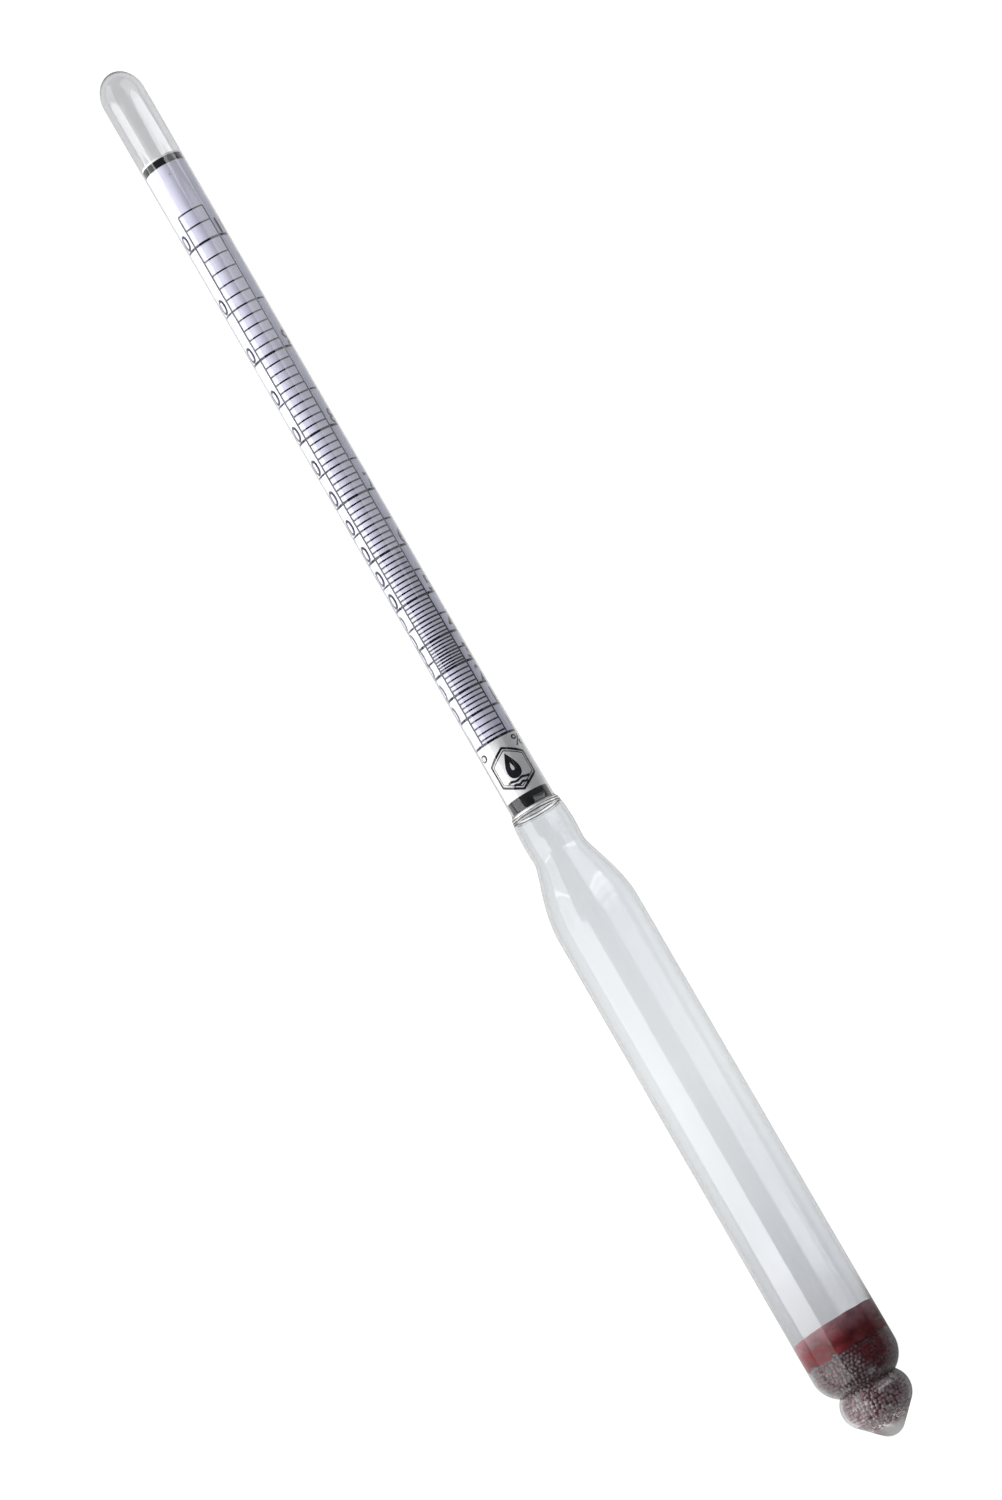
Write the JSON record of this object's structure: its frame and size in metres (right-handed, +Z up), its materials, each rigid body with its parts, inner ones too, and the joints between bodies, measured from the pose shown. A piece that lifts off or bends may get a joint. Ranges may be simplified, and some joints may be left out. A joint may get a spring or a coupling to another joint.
{
  "type": "spirit hydrometer",
  "caption": "Sealed glass float with a slim graduated stem, a paper scale inside it and a knob of metal shot under red wax that keeps it upright in a liquid.",
  "frame": {"origin": "on the surface that the instrument lies on, under the middle of its length", "axes": "+X along the instrument's axis from the ballast knob to the stem's tip, +Z up, the axis level"},
  "size_m": [0.3046, 0.0178, 0.0177],
  "materials": {
    "stem_glass": "clear polished tube glass",
    "bead_glass": "flame-melted clear glass",
    "float_glass": "clear polished tube glass",
    "scale_paper": "smooth white paper with black printed graduations",
    "band_black": "black paper band",
    "red_wax": "translucent dark red sealing wax",
    "lead_shot": "dull grey cast shot with wax between the pellets"
  },
  "bodies": {
    "root": {"stem_tube": "stem_glass", "fusion_bead": "bead_glass", "float_body": "float_glass", "scale_paper": "scale_paper", "upper_band": "band_black", "lower_band": "band_black", "wax_plug": "red_wax", "shot_bed": "lead_shot", "shot_pellet_01": "lead_shot", "shot_pellet_02": "lead_shot", "shot_pellet_03": "lead_shot", "shot_pellet_04": "lead_shot", "shot_pellet_05": "lead_shot", "shot_pellet_06": "lead_shot", "shot_pellet_07": "lead_shot", "shot_pellet_08": "lead_shot", "shot_pellet_09": "lead_shot", "shot_pellet_10": "lead_shot", "shot_pellet_11": "lead_shot", "shot_pellet_12": "lead_shot", "shot_pellet_13": "lead_shot", "shot_pellet_14": "lead_shot", "shot_pellet_15": "lead_shot", "shot_pellet_16": "lead_shot", "shot_pellet_17": "lead_shot", "shot_pellet_18": "lead_shot", "shot_pellet_19": "lead_shot", "shot_pellet_20": "lead_shot", "shot_pellet_21": "lead_shot", "shot_pellet_22": "lead_shot", "shot_pellet_23": "lead_shot", "shot_pellet_24": "lead_shot", "shot_pellet_25": "lead_shot", "shot_pellet_26": "lead_shot", "shot_pellet_27": "lead_shot", "shot_pellet_28": "lead_shot", "shot_pellet_29": "lead_shot", "shot_pellet_30": "lead_shot", "shot_pellet_31": "lead_shot", "shot_pellet_32": "lead_shot", "shot_pellet_33": "lead_shot", "shot_pellet_34": "lead_shot", "shot_pellet_35": "lead_shot", "shot_pellet_36": "lead_shot", "shot_pellet_37": "lead_shot", "shot_pellet_38": "lead_shot", "shot_pellet_39": "lead_shot", "shot_pellet_40": "lead_shot", "shot_pellet_41": "lead_shot", "shot_pellet_42": "lead_shot"}
  },
  "joints": []
}
